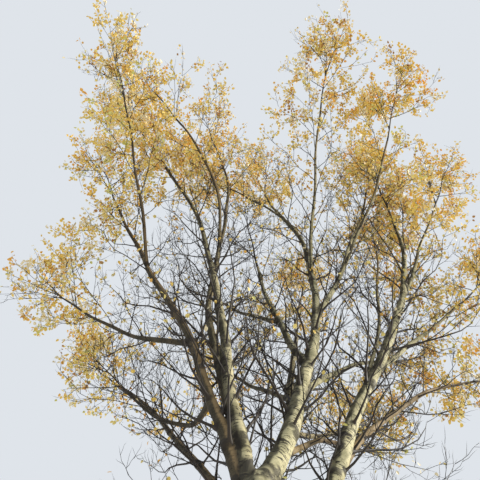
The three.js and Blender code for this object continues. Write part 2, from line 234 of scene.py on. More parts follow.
latticePrimes = np.array([73856093, 19349663, 83492791])
seedPrime = 2654435761


# Smooth random values from -1 to 1, one lattice cell to a unit.
def cloudNoise(points, seed=0):
    cell = np.floor(points).astype(np.int64)
    part = points - cell
    part = part * part * (3 - 2 * part)
    total = np.zeros(len(points))
    for corner in range(8):
        step = np.array([corner & 1, corner >> 1 & 1, corner >> 2 & 1])
        x, y, z = ((cell + step) * latticePrimes).T
        mixed = (x ^ y ^ z ^ seed * seedPrime) & 0xFFFFFFFF
        for shift, factor in ((15, 2246822519), (13, 3266489917)):
            mixed = ((mixed ^ mixed >> shift) * factor) & 0xFFFFFFFF
        weight = np.prod(np.where(step, part, 1 - part), axis=1)
        total += weight * ((mixed ^ mixed >> 16) / 2147483648.0 - 1)
    return total


# Finishes: each material is named for its surface and for any light or shade painted into it, with colours in
# sRGB hex.

def linear(hexColour):
    parts = [int(hexColour[i:i + 2], 16) / 255 for i in (1, 3, 5)]
    return [part / 12.92 if part <= 0.04045 else ((part + 0.055) / 1.055) ** 2.4 for part in parts] + [1.0]


# Adds a node with its settings, fills its sockets by name or in their order, and gives one of its outputs.
def addNode(tree, kind, inputs=(), output=0, **settings):
    node = tree.nodes.new("ShaderNode" + kind)
    for name, value in settings.items():
        setattr(node, name, value)
    for socket, value in inputs.items() if isinstance(inputs, dict) else enumerate(inputs):
        if isinstance(value, bpy.types.NodeSocket):
            tree.links.new(value, node.inputs[socket])
        else:
            node.inputs[socket].default_value = value
    return node.outputs[output]


def newMaterial(name):
    material = bpy.data.materials.new(name)
    material.use_nodes = True
    tree = material.node_tree
    return material, tree, tree.nodes["Principled BSDF"]


def plainMaterial(name, colour, roughness):
    material, tree, shader = newMaterial(name)
    shader.inputs["Base Color"].default_value = linear(colour)
    shader.inputs["Roughness"].default_value = roughness
    return material


barkLook = {
    "cream": "#e0d6a8",  # young smooth bark where the light falls on it
    "greyGreen": "#96916c",
    "tan": "#957a51",  # the browner stems on the left
    "darkBrown": "#33281c",  # thin boughs
    # painted shade, tinted like algae: the colour that darkens the side away from the sun
    "algae": "#2a2819",  # on the side away from the sun
    "algaeCover": 0.95,
    # how many of each lie in a metre, and how detailed they are
    "patches": (6.0, 4.0),
    "grit": (130.0, 3.0),
    "crowds": (2.6, 2.0),
    "crack": "#221b15",
    "plate": "#7b7263",  # ridges between the cracks at the foot
    "platesToMetre": (34, 34, 9),
    "plateBend": 0.06,
    "bendsToMetre": 14.0,
    "marks": [  # metres round the stem and up it, and how sharp the edge is
        {"wide": 0.05, "tall": 0.007, "detail": 2.5, "distortion": 0.8, "edge": (0.57, 0.61)},
        {"wide": 0.07, "tall": 0.03, "detail": 4.0, "distortion": 1.2, "edge": (0.59, 0.615)},
    ],
    "pore": 0.005,  # half the width of a diamond pore
    "poresApart": 0.032,
    "reliefDepth": 0.003,
}


# Plates between interlaced cracks at the foot: how far each place is from the nearest crack.
def barkCracks(tree, grain):
    look = barkLook
    wander = addNode(tree, "TexNoise", {"Vector": grain, "Scale": look["bendsToMetre"], "Detail": 4.0}, 1)
    bend = (look["plateBend"],) * 3
    bent = addNode(tree, "VectorMath", (wander, bend, grain), operation="MULTIPLY_ADD")
    upright = addNode(tree, "Mapping", {"Vector": bent, "Scale": look["platesToMetre"]})
    sockets = {"Vector": upright, "Scale": 1.0}
    return addNode(tree, "TexVoronoi", sockets, "Distance", feature="DISTANCE_TO_EDGE")


# Black marks, thin and bold, crowded on some stretches and nearly missing on others.
def barkMarks(tree, grain, crowding):
    crowd = addNode(tree, "MapRange", (crowding, 0.36, 0.64, -0.1, 0.045))
    bothMarks = []
    for mark in barkLook["marks"]:
        scale = (1 / mark["wide"], 1 / mark["wide"], 1 / mark["tall"])
        grid = addNode(tree, "Mapping", {"Vector": grain, "Scale": scale})
        sockets = {"Vector": grid, "Scale": 0.5, "Detail": mark["detail"], "Distortion": mark["distortion"]}
        crowded = addNode(tree, "Math", (addNode(tree, "TexNoise", sockets), crowd), operation="ADD")
        bothMarks.append(addNode(tree, "MapRange", (crowded, *mark["edge"])))
    return addNode(tree, "Math", bothMarks, operation="MAXIMUM")


# Diamond pores.
def barkPores(tree, grain):
    look = barkLook
    sockets = {"Vector": grain, "Scale": 1 / look["poresApart"], "Randomness": 1.0}
    poreGrid = addNode(tree, "TexVoronoi", sockets, "Distance", distance="MANHATTAN")
    edge = look["pore"] / look["poresApart"]
    return addNode(tree, "MapRange", (poreGrid, edge, edge * 1.6, 0.8, 0.0))


# Smooth pale poplar bark: chalky cream with black marks in clusters, diamond pores, painted shade tinted like
# algae on the side away from the sun, dark wrinkles and painted shade at the forks, and cracked plates at the
# foot.
def poplarBark():
    look = barkLook
    colours = {name: linear(value) for name, value in look.items() if str(value)[0] == "#"}
    material, tree, shader = newMaterial("poplarBark")
    grain = addNode(tree, "Attribute", output="Vector", attribute_name="grain")
    tone, rough, scar, shaded = (
        addNode(tree, "Attribute", output="Fac", attribute_name=name)
        for name in ("tone", "rough", "scar", "shaded")
    )
    patch, speckle, crowding = (
        addNode(tree, "TexNoise", {"Vector": grain, "Scale": look[name][0], "Detail": look[name][1]})
        for name in ("patches", "grit", "crowds")
    )
    cracks = barkCracks(tree, grain)

    # the marks fade on the rough foot and on the brown stems
    dark = barkMarks(tree, grain, crowding)
    for fading in ((rough, 0.2, 0.7, 0.92, 0.0), (tone, 0.3, 0.62, 0.15)):
        dark = addNode(tree, "Math", (dark, addNode(tree, "MapRange", fading)), operation="MULTIPLY")
    # then the pores, and wrinkled dark scars with painted shade at the forks and under the side branches
    grit = addNode(tree, "MapRange", (speckle, 0.25, 0.6, 0.75, 1.0))
    scarsAndShade = addNode(tree, "Math", (scar, grit), operation="MULTIPLY")
    for more in (barkPores(tree, grain), scarsAndShade):
        dark = addNode(tree, "Math", (dark, more), operation="MAXIMUM")

    # cream is clouded with grey-green, and the side away from the sun is darkened with painted shade tinted
    # like algae
    clouds = addNode(tree, "MapRange", (patch, 0.47, 0.72))
    sockets = {0: clouds, 6: colours["cream"], 7: colours["greyGreen"]}
    pale = addNode(tree, "Mix", sockets, 2, data_type="RGBA")
    plateShare = addNode(tree, "MapRange", (cracks, 0.02, 0.2))
    sockets = {0: plateShare, 6: colours["crack"], 7: colours["plate"]}
    plates = addNode(tree, "Mix", sockets, 2, data_type="RGBA")
    paintedShadeAlgaeStrength = addNode(tree, "MapRange", (patch, 0.3, 0.6, 0.7, 1.0))
    paintedShadeWash = addNode(tree, "Math", (shaded, paintedShadeAlgaeStrength), operation="MULTIPLY")
    colour = colours["darkBrown"]
    layers = [
        (addNode(tree, "MapRange", (tone, 0.08, 0.4)), colours["tan"]),
        (addNode(tree, "MapRange", (tone, 0.35, 0.85)), pale),
        (addNode(tree, "Math", (paintedShadeWash, look["algaeCover"]), operation="MULTIPLY"), colours["algae"]),
        (addNode(tree, "MapRange", (speckle, 0.45, 0.75, 0.0, 0.35)), colours["plate"]),
        (rough, plates),
        (dark, colours["crack"]),
    ]
    for share, over in layers:
        colour = addNode(tree, "Mix", {0: share, 6: colour, 7: over}, 2, data_type="RGBA")
    tree.links.new(colour, shader.inputs["Base Color"])

    # relief: grain everywhere, marks and pores a little sunk, cracks deep
    grainy = addNode(tree, "Math", (speckle, 0.4), operation="MULTIPLY")
    height = addNode(tree, "Math", (dark, -0.6, grainy), operation="MULTIPLY_ADD")
    depth = addNode(tree, "MapRange", (cracks, 0.0, 0.25, -2.5, 0.8))
    height = addNode(tree, "Math", (depth, rough, height), operation="MULTIPLY_ADD")
    sockets = {"Height": height, "Distance": look["reliefDepth"], "Strength": 0.9}
    tree.links.new(addNode(tree, "Bump", sockets), shader.inputs["Normal"])
    tree.links.new(addNode(tree, "MapRange", (patch, 0.3, 0.7, 0.62, 0.86)), shader.inputs["Roughness"])
    shader.inputs["IOR"].default_value = 1.45
    return material


# the two colours of each rind, darkened partly as painted shade, and its patches to a metre
twigLook = {"branchletRind": ("#3c3022", "#231b13"), "twigRind": ("#2c2219", "#18120d"), "patches": 9.0}


# Young wood: a thin smooth rind, darker and a little shinier than the stems' bark; its darkness is partly its
# own colour and partly painted shade.
def twigRind(name):
    material, tree, shader = newMaterial(name)
    place = addNode(tree, "TexCoord", output="Object")
    patch = addNode(tree, "TexNoise", {"Vector": place, "Scale": twigLook["patches"], "Detail": 3.0})
    share = addNode(tree, "MapRange", (patch, 0.35, 0.65))
    lit, clouded = twigLook[name]
    sockets = {0: share, 6: linear(lit), 7: linear(clouded)}
    tree.links.new(addNode(tree, "Mix", sockets, 2, data_type="RGBA"), shader.inputs["Base Color"])
    shader.inputs["Roughness"].default_value = 0.6
    return material


bark = poplarBark()
branchletRind = twigRind("branchletRind")
twigSkinAndShade = twigRind("twigRind")


# Side shoots: thin dark branches, nearly bare. They come first because the bark swells round them.

shootPlan = {
    "seed": 611,
    "firstAt": 0.45,  # metres from a limb's root
    "apart": 0.155,
    "lengths": (0.8, 2.4),
    "spread": 48,
    "radiusShare": 0.32,  # of the limb's radius there
    "radiusLimits": (0.007, 0.018),
}


def turned(vectors, axes, angle):
    cosine = np.cos(angle)
    sine = np.sin(angle)
    dots = np.sum(vectors * axes, axis=-1, keepdims=True)
    return vectors * cosine + np.cross(axes, vectors) * sine + axes * dots * (1 - cosine)


# Sideways off a line: a spread angle away from it, at a turn round it, leaning up to the light.
def sideDirection(along, turn, spread):
    level = up if abs(along[2]) < 0.9 else right
    side = turned(unit(np.cross(along, level)), along, math.radians(turn))
    angle = math.radians(spread)
    out = along * math.cos(angle) + side * math.sin(angle)
    return unit(out + up * upwards)


def spotsAlong(limb, step=0.12):
    count = math.ceil(limb["length"] / step)
    middles, alongs, radii = placeOn(limb, np.arange(count + 1) / count)
    return middles, radii


spotMiddles, spotRadii = (np.concatenate(parts) for parts in zip(*map(spotsAlong, limbs)))


# Whether each point is clear of a set of limb spots by a margin.
def clearOfSpots(points, middles, radii, margin):
    apart = np.linalg.norm(points[:, None, :] - middles[None, :, :], axis=2)
    return np.all(apart > radii[None, :] + margin, axis=1)


def insideBox(points, margin=0.02):
    return np.all((points > boxLow + margin) & (points < boxHigh - margin), axis=1)


twigShapes = {
    # how far a line bends up and wavers, its joints, how many of them may lie in its carrier, and the sizes
    # that are tried in turn until it has room
    "shoot": {"bend": 0.55, "waver": 0.055, "joints": 8, "buried": 3, "sizes": (1, 0.7, 0.45)},
    "twig": {"bend": 0.12, "waver": 0.02, "joints": 7, "buried": 2, "sizes": (1, 0.8, 0.62)},
    "sideTwig": {"bend": 0.45, "waver": 0.05, "joints": 5, "buried": 1, "sizes": (1, 0.6)},
    "spur": {"bend": 0.5, "waver": 0.06, "joints": 4, "buried": 1, "sizes": (1,)},
}


# A twig's line of points, which bends up a little and wavers, and the length that it has room for.
def growLine(kind, start, leaving, length, random, hasRoom):
    shape = twigShapes[kind]
    share = np.linspace(0, 1, shape["joints"])[:, None]
    for size in shape["sizes"]:
        grown = length * size
        across = unit(np.cross(leaving, random.normal(size=3)))
        beside = np.cross(leaving, across)
        arriving = unit(leaving + up * shape["bend"])
        line = start + grown * (leaving * (share - share**2 / 2) + arriving * share**2 / 2)
        phase = random.uniform(0, 2 * math.pi)
        for aside, part, waves, first in ((across, 1, 2.2, phase), (beside, 0.7, 3.7, phase * 2)):
            swing = np.sin(waves * math.pi * share + first) - math.sin(first)
            line += aside * grown * shape["waver"] * part * swing * share
        if hasRoom(line[shape["buried"]:]):
            return line, grown
    return None, 0


def taper(root, tip, joints):
    return root + (tip - root) * np.linspace(0, 1, joints) ** 0.9


twigLines = {}  # lines and radii by kind and number of joints


def keepTwig(kind, line, radii):
    twigLines.setdefault((kind, len(line)), []).append((line, radii))


def lineAt(line, share):
    spot = share * (len(line) - 1)
    first = min(int(spot), len(line) - 2)
    part = spot - first
    return line[first] * (1 - part) + line[first + 1] * part, unit(line[first + 1] - line[first])


sprayStems = []  # the line and length of each twig that can carry a spray of leaves
crown = {
    "middle": np.array([0.5, 0.2, 7.2]),
    "radii": np.array([4.9, 4.1, 7.4]),
    "bareInside": 0.48,  # as a share of the way out
    "fullOutside": 0.9,
    "leastInside": 0.03,
    "leastLow": 0.3,
    "fillingHeights": (5.5, 9.5),  # the leaves thicken from the first to the second
    "clumps": 1.3,  # to a metre
    "clumping": 1.15,
}


# How many leaves are left at a place: most at the outside and top of the crown, few inside and low down.
def leafShare(points):
    outside = np.linalg.norm((points - crown["middle"]) / crown["radii"], axis=1)
    patchy = 0.86 + crown["clumping"] * cloudNoise(points * crown["clumps"], 7)
    full = smoothStep(outside, crown["bareInside"], crown["fullOutside"])
    high = smoothStep(points[:, 2], *crown["fillingHeights"])
    leastInside = crown["leastInside"]
    leastLow = crown["leastLow"]
    return (leastInside + (1 - leastInside) * full) * (leastLow + (1 - leastLow) * high) * patchy


# A shoot's line and radii, with joints added where it leaves the bark so that its root widens there.
def flaredShoot(line, thick, leavesAt):
    steps = np.linalg.norm(np.diff(line, axis=0), axis=1)
    arcs = np.concatenate([[0.0], np.cumsum(steps)])
    added = leavesAt + thick * np.array([0.0, 1.5, 4.0])
    spots = np.sort(np.concatenate([arcs, added]))
    joints = np.stack([np.interp(spots, arcs, line[:, axis]) for axis in range(3)], axis=1)
    flare = 1 + 0.75 * np.exp(-np.maximum(spots - leavesAt, 0) / (thick * 1.5))
    return joints, np.interp(spots, arcs, taper(thick, 0.0025, len(line))) * flare


def growShoots():
    plan = shootPlan
    random = np.random.default_rng(plan["seed"])
    low, high = plan["radiusLimits"]
    knots = []

    def hasRoom(points):
        return clearOfSpots(points, spotMiddles, spotRadii, 0.03).all() and insideBox(points, 0.1).all()

    for limb in limbs:
        arc = plan["firstAt"] + random.uniform(0, plan["apart"])
        turn = random.uniform(0, 360)
        while arc < limb["length"] - 0.1:
            middle, along, radius = spotOn(limb, arc / limb["length"])
            arc += plan["apart"] * random.uniform(0.6, 1.5)
            turn += goldenAngle
            thick = min(max(radius * plan["radiusShare"], low), high) * random.uniform(0.75, 1.1)
            length = random.uniform(*plan["lengths"]) * (0.55 + 0.45 * thick / high)
            out = sideDirection(along, turn, plan["spread"] * random.uniform(0.8, 1.2))
            line, grown = growLine("shoot", middle, out, length, random, hasRoom)
            if grown:
                leavesAt = radius / np.linalg.norm(np.cross(out, along))
                keepTwig("branchlet", *flaredShoot(line, thick, leavesAt))
                knots.append((middle + out * leavesAt, along, thick))
                leafy = float(leafShare(line[-1:])[0])
                growSideTwigs(line, thick, grown, random, 0.2 - 0.08 * min(leafy, 1))
    return knots


sideTwigPlan = {
    "first": 0.2,  # as a share of the way along
    "spread": (32, 52),
    "shortest": 0.14,
    "radii": (0.0042, 0.0018),  # at its root, at least, and at its tip
    "spursApart": 0.1,
    "spurSpread": (28, 50),
    "spurLength": (0.1, 0.3),
    "spurRadii": (0.0026, 0.0014),
}


# Side twigs and their spurs along a shoot or a twig, by turns round it, with a spray of leaves on each.
def growSideTwigs(line, thick, length, random, apart, hasRoom=lambda points: True):
    plan = sideTwigPlan
    first = plan["first"]
    count = max(int(length * (1 - first) / apart), 1)
    turn = random.uniform(0, 360)
    for i in range(count):
        share = first + (1 - first) * (i + random.uniform(0.2, 0.8)) / count
        start, along = lineAt(line, min(share, 0.97))
        turn += goldenAngle
        out = sideDirection(along, turn, random.uniform(*plan["spread"]))
        reach = max(length * (0.55 - 0.33 * share) * random.uniform(0.6, 1.2), plan["shortest"])
        side, grown = growLine("sideTwig", start, out, reach, random, hasRoom)
        if not grown:
            continue
        least, tip = plan["radii"]
        sideThick = max(thick * (1 - share) * 0.6, least)
        keepTwig("twig", side, taper(sideThick, tip, len(side)))
        sprayStems.append((side, grown))
        for j in range(int(grown / plan["spursApart"])):
            at, onward = lineAt(side, random.uniform(0.2, 0.9))
            out = sideDirection(onward, turn + 180 * j + 60, random.uniform(*plan["spurSpread"]))
            spur, spurGrown = growLine("spur", at, out, random.uniform(*plan["spurLength"]), random, hasRoom)
            if spurGrown:
                least, tip = plan["spurRadii"]
                keepTwig("twig", spur, taper(max(sideThick * 0.5, least), tip, len(spur)))
                sprayStems.append((spur, spurGrown))
    sprayStems.append((line[-3:], length * 0.2))


knots = growShoots()
print("side shoots grown:", len(knots))


# Bark: tubes along the limbs, joined where they meet, with the relief of the real bark.

barkPlan = {
    "voxel": 0.0135,
    "thickRadius": 0.033,  # above this a limb belongs to the joined piece, below it is a tube of its own
    "stub": 0.36,  # how much of a thin limb is joined to the one that carries it
    "dive": 0.09,
    "cuts": {"trunkBark": (0.0, 2.2), "forkBark": (2.2, 5.5), "stemsBark": (5.5, None)},
    "sampleStep": 0.05,
    "sampleReach": 0.15,  # how far from a limb's surface a point may belong to it
    "tubeStep": 0.035,
    "stockStep": 0.06,
    "forkBlend": (1.1, 0.1),  # how far off the next limb is, in radii, as the blend begins and ends
    "forkRounds": 24,  # extra smoothing where limbs meet
    "shadedSide": -right,
}
barkTone = {
    "trunk": 0.85,
    "stem_centre": 1.0,
    "bough_right_top": 0.85,
    "bough_centre_low": 0.45,
    "stem_left": 0.76,
    "bough_left_inner": 0.58,
    "stem_outer_left": 0.38,
    "bough_far_left": 0.4,
    "stem_far": 0.68,
    "stem_right": 0.95,
    # darker than the other boughs of its stem: painted shade, for it hangs in shadow
    "bough_right_low": 0.4,
}


def toneOf(limb):
    if limb["name"] in barkTone:
        return barkTone[limb["name"]]
    return toneOf(knownLimbs[limb["on"]]) * 0.95


# Where along a limb the joined piece ends and its own tube begins, as an arc length.
def joinedArc(limb):
    thick = barkPlan["thickRadius"]
    root, tip, length = (limb[key] for key in ("root", "tip", "length"))
    if limb["swell"] and root <= thick * 1.3:
        return min(max(barkPlan["stub"], 8 * root), length * 0.5)
    if root <= thick:
        return 0.0
    if tip >= thick:
        return length
    return max((root - thick) / (root - tip) * length, barkPlan["stub"])


for limb in limbs:
    limb["joined"] = joinedArc(limb)
    limb["tone"] = toneOf(limb)
trunk["tone"] = barkTone["trunk"]
trunk["joined"] = trunk["height"]


def tubesFromLines(name, lines, bevelResolution):
    curve = bpy.data.curves.new(name, "CURVE")
    curve.dimensions = "3D"
    curve.bevel_depth = 1.0
    curve.bevel_resolution = bevelResolution
    curve.use_fill_caps = True
    for middles, radii in lines:
        spline = curve.splines.new("POLY")
        spline.points.add(len(middles) - 1)
        spline.points.foreach_set("co", np.hstack([middles, np.ones((len(middles), 1))]).ravel())
        spline.points.foreach_set("radius", radii)
    piece = addObject(name, curve)
    makeActive(piece)
    bpy.ops.object.convert(target="MESH")
    return piece


# How much the root flare widens the trunk, as a share of its radius.
def flareAt(height):
    return trunk["flareSwell"] / trunk["foot"] * np.exp(-height / trunk["flareReach"])


def stockLines():
    share = np.linspace(-0.04, 1, 60)  # from below the ground, where the cut leaves it flat
    middle, along, radius = placeOn(trunk, share)
    radius = radius * (1 + flareAt(np.maximum(share, 0) * trunk["height"]))
    past = np.maximum(0, (share - trunk["domeStart"]) / (1 - trunk["domeStart"]))
    lines = [(middle, radius * np.sqrt(1 - past**2 * (1 - trunk["domeFlat"] ** 2)))]
    chains = {}
    for limb in limbs:
        if limb["joined"] > 0:
            chains.setdefault(limb["chain"], []).append(limb)
    for chain in chains.values():
        middles = []
        radii = []
        for limb in chain:
            count = max(int(limb["joined"] / barkPlan["stockStep"]), 3)
            middle, along, radius = placeOn(limb, np.linspace(0, limb["joined"] / limb["length"], count))
            shared = 1 if middles else 0
            middles.append(middle[shared:])
            radii.append(radius[shared:])
        radii[-1][-1] *= 0.7  # so that its end hides in the tube that goes on
        lines.append((np.concatenate(middles), np.concatenate(radii)))
    return lines


def tubeLines():
    lines = []
    for limb in limbs:
        if limb["joined"] < limb["length"]:
            start = max(limb["joined"] - barkPlan["dive"], 0)
            count = int((limb["length"] - start) / barkPlan["tubeStep"]) + 2
            middle, along, radius = placeOn(limb, np.linspace(start / limb["length"], 1, count))
            if limb["joined"] == 0:
                middle[0] -= along[0] * 0.004  # a little into the limb that it carries on
            lines.append((middle, radius))
    return lines


# For each point: the nearest limb, the place on its surface, and how near the next chain's surface is.
def nearestLimb(points):
    count = len(points)
    found = {name: np.full(count, 9.0) for name in ("best", "second")}
    found |= {name: np.zeros(count) for name in ("arc", "radius")}
    found |= {name: np.zeros((count, 3)) for name in ("outward", "middle", "along")}
    found |= {name: np.zeros(count, int) for name in ("limb", "chain")}
    best = found["best"]
    second = found["second"]
    for number, limb in enumerate(everyLimb):
        samples = math.ceil(limb["length"] / barkPlan["sampleStep"]) + 1
        shares = np.linspace(0, 1, samples)
        middles, alongs, radii = placeOn(limb, shares)
        if limb is trunk:
            radii = radii * (1 + flareAt(shares * trunk["height"]))
        reach = radii.max() + barkPlan["sampleReach"]
        low = middles.min(axis=0) - reach
        high = middles.max(axis=0) + reach
        near = np.flatnonzero(np.all((points > low) & (points < high), axis=1))
        for part in np.array_split(near, max(len(near) // 4000, 1)):
            if not len(part):
                continue
            chosen = points[part]
            squares = ((chosen[:, None, :] - middles[None, :, :]) ** 2).sum(axis=2)
            closest = squares.argmin(axis=1)
            offset = chosen - middles[closest]
            onward = (offset * alongs[closest]).sum(axis=1)
            if limb is not trunk:
                onward = np.clip(onward, -0.03, 0.03)
            arc = np.clip(shares[closest] * limb["length"] + onward, 0, limb["length"])
            middle, along, radius = placeOn(limb, arc / limb["length"])
            radial = chosen - middle
            radial -= (radial * along).sum(axis=1, keepdims=True) * along
            outward = radial / np.maximum(np.linalg.norm(radial, axis=1, keepdims=True), 1e-6)
            if limb is trunk:
                radius = radius * (1 + flareAt(arc))
            gap = np.linalg.norm(chosen - middle, axis=1) - radius
            otherChain = found["chain"][part] != limb["chain"]
            wins = gap < best[part]
            second[part] = np.where(wins & otherChain, best[part], second[part])
            second[part] = np.where(~wins & otherChain, np.minimum(second[part], gap), second[part])
            winners = part[wins]
            names = ("best", "arc", "radius", "outward", "middle", "along")
            for name, values in zip(names, (gap, arc, radius, outward, middle, along)):
                found[name][winners] = values[wins]
            found["limb"][winners] = number
            found["chain"][winners] = limb["chain"]
    return found


# Lobed buttresses at the ground that fade up the trunk, as a share of the mean radius.
def flareLobes(angle, height):
    swell = flareAt(height)
    turn = trunk["flareLobes"] * (math.pi - angle) + height / trunk["height"] * 3
    lobe = 1 + trunk["flareDepth"] * np.cos(turn)
    return (1 + swell * lobe) / (1 + swell)


oldKnotPlan = {"seed": 93, "apart": 0.42, "limbsFrom": 0.05, "radii": (0.012, 0.024)}


# Scars of boughs that fell long ago, on the trunk and the thick stems.
def oldKnots():
    plan = oldKnotPlan
    random = np.random.default_rng(plan["seed"])
    spots = []
    for limb in everyLimb:
        if limb is trunk or limb["root"] > plan["limbsFrom"]:
            for i in range(int(limb["length"] / plan["apart"])):
                share = random.uniform(0.18, 0.85) if limb is trunk else random.uniform(0.05, 0.95)
                middle, along, radius = spotOn(limb, share)
                outward = unit(np.cross(along, random.normal(size=3)))
                spots.append((middle + outward * radius, along, random.uniform(*plan["radii"])))
    return spots


# Where each side limb leaves the one that carries it.
def limbSockets():
    spots = []
    for limb in limbs:
        if limb["swell"]:
            middle, along, radius = spotOn(knownLimbs[limb["on"]], limb["at"])
            slant = np.linalg.norm(np.cross(limb["leaving"], along))
            out = radius * (1 - joint["offCentre"]) / slant
            spots.append((limb["origin"] + limb["leaving"] * out, along, limb["root"]))
    return spots


knotSpots = knots + oldKnots()
socketSpots = limbSockets()
barkRelief = {
    # clouds to a metre, round the limb and up it, and their height as a share of its radius
    "swellings": [((6, 6, 3.4), 0.075), ((17, 17, 20), 0.022)],
    "roughHeights": (2.5, 0.5),  # where the trunk begins to be rough, and where it is so all round
    "grooves": (19, 19, 3.4),
    "grooveBend": 0.35,
    "grooveDepth": 0.022,
    "chips": (46, 46, 13),
    "chipDepth": 0.009,
    "knotWidth": 2.2,  # of the shoot's radius
    "knotHeight": 0.8,
    "wrinkles": (30, 30, 60),
    "wrinkleHeight": 0.006,
    "creaseWidths": (0.055, 0.0),
    "creaseReach": (0.06, 0.01),
    # the crotch between these heights is also darkened with painted shade
    "crotch": (4.2, 4.36),  # the heights between which the trunk's crotch is wrinkled
}


# Swells the bark round each knot and darkens it.
def addKnots(points, grain, relief, scar):
    for spot, along, thick in knotSpots:
        near = np.flatnonzero(np.abs(points - spot).max(axis=1) < thick * 5)
        if len(near):
            flat = np.linalg.norm(points[near] - spot, axis=1) / thick
            swell = np.exp(-((flat / barkRelief["knotWidth"]) ** 2))
            relief[near] += swell * thick * barkRelief["knotHeight"]
            ragged = cloudNoise(grain[near] * [30, 30, 70], 10) * 0.7
            scar[near] = np.maximum(scar[near], 0.85 * smoothStep(flat + ragged, 3.4, 2.2))


# A dark wrinkled patch round the socket of each side limb, larger below it: scarred bark, and painted shade
# under the limb.
def addSockets(points, grain, scar):
    for spot, along, thick in socketSpots:
        near = np.flatnonzero(np.abs(points - spot).max(axis=1) < thick * 4)
        if len(near):
            offset = (points[near] - spot) / thick
            rise = offset @ along
            aside = np.linalg.norm(offset - rise[:, None] * along, axis=1)
            blot = np.hypot(aside / 1.25, (rise + 0.25) / np.where(rise > 0, 1.2, 1.7))
            ragged = cloudNoise(grain[near] * [22, 22, 60], 11) * 0.45
            ragged += cloudNoise(grain[near] * [9, 9, 14], 12) * 0.35
            scar[near] = np.maximum(scar[near], 0.9 * smoothStep(blot + ragged, 1.25, 0.95))


# A value of the limb that each point lies on.
def limbValues(found, key):
    return np.array([limb[key] for limb in everyLimb])[found["limb"]]


# The bark's own coordinates, in metres round each limb and up it, and the radius of its round surface.
def barkGrain(found):
    outward = found["outward"]
    across = unit(ahead - found["along"] * found["along"][:, 1:2])
    beside = np.cross(across, found["along"])
    angle = np.arctan2((outward * across).sum(axis=1), (outward * beside).sum(axis=1))
    lobed = found["radius"] * flareLobes(angle, found["arc"])
    radius = np.where(found["limb"] == 0, lobed, found["radius"])
    height = found["arc"] + limbValues(found, "startArc")
    grain = np.stack([radius * np.cos(angle), radius * np.sin(angle), height], axis=1)
    grain[:, 2] += found["limb"] * 0.37  # so that no two limbs have the same marks
    return grain, radius


# How strongly each point lies in a fork between limbs, and in the crease along its bottom.
def forkShares(points, found):
    onTrunk = found["limb"] == 0
    fork = smoothStep(found["second"] / np.maximum(found["radius"], 0.02), *barkPlan["forkBlend"])
    trunkTop = smoothStep(found["arc"], trunk["height"] * 0.94, trunk["height"])
    crease = smoothStep(found["second"] - found["best"], *barkRelief["creaseWidths"])
    crease *= smoothStep(found["second"], *barkRelief["creaseReach"])
    crotch = smoothStep(points[:, 2], *barkRelief["crotch"])
    fork = np.where(onTrunk, np.maximum(fork, trunkTop), fork)
    return fork, np.where(onTrunk, np.maximum(crease, crotch), crease)


# A tube's points, moved out to the relief. Its caps stay.
def dressedTube(points, found, radius, relief):
    isCap = np.linalg.norm(points - found["middle"], axis=1) < 0.6 * found["radius"]
    return np.where(isCap[:, None], points, found["middle"] + found["outward"] * (radius + relief)[:, None])


# The joined piece's points: on each limb's round surface, and in a fork on the blend between the limbs. They
# dive in where a limb goes on as a tube of its own.
def dressedStock(points, found, radius, relief, fork):
    joined = limbValues(found, "joined")
    dive = 1 - 0.3 * smoothStep(found["arc"], joined - barkPlan["dive"], joined)
    dive = np.where((found["limb"] == 0) | (joined >= limbValues(found, "length")), 1, dive)
    onSurface = found["middle"] + found["outward"] * (radius * dive + relief)[:, None]
    blended = points + found["outward"] * relief[:, None]
    dressed = onSurface * (1 - fork[:, None]) + blended * fork[:, None]
    dressed[points[:, 2] < 1e-4, 2] = 0  # the cut at the ground stays flat
    return dressed


def storeValues(piece, values):
    for name, value in values.items():
        kind, field = ("FLOAT_VECTOR", "vector") if value.ndim > 1 else ("FLOAT", "value")
        attribute = piece.data.attributes.new(name, kind, "POINT")
        attribute.data.foreach_set(field, np.ascontiguousarray(value, dtype=np.float32).ravel())


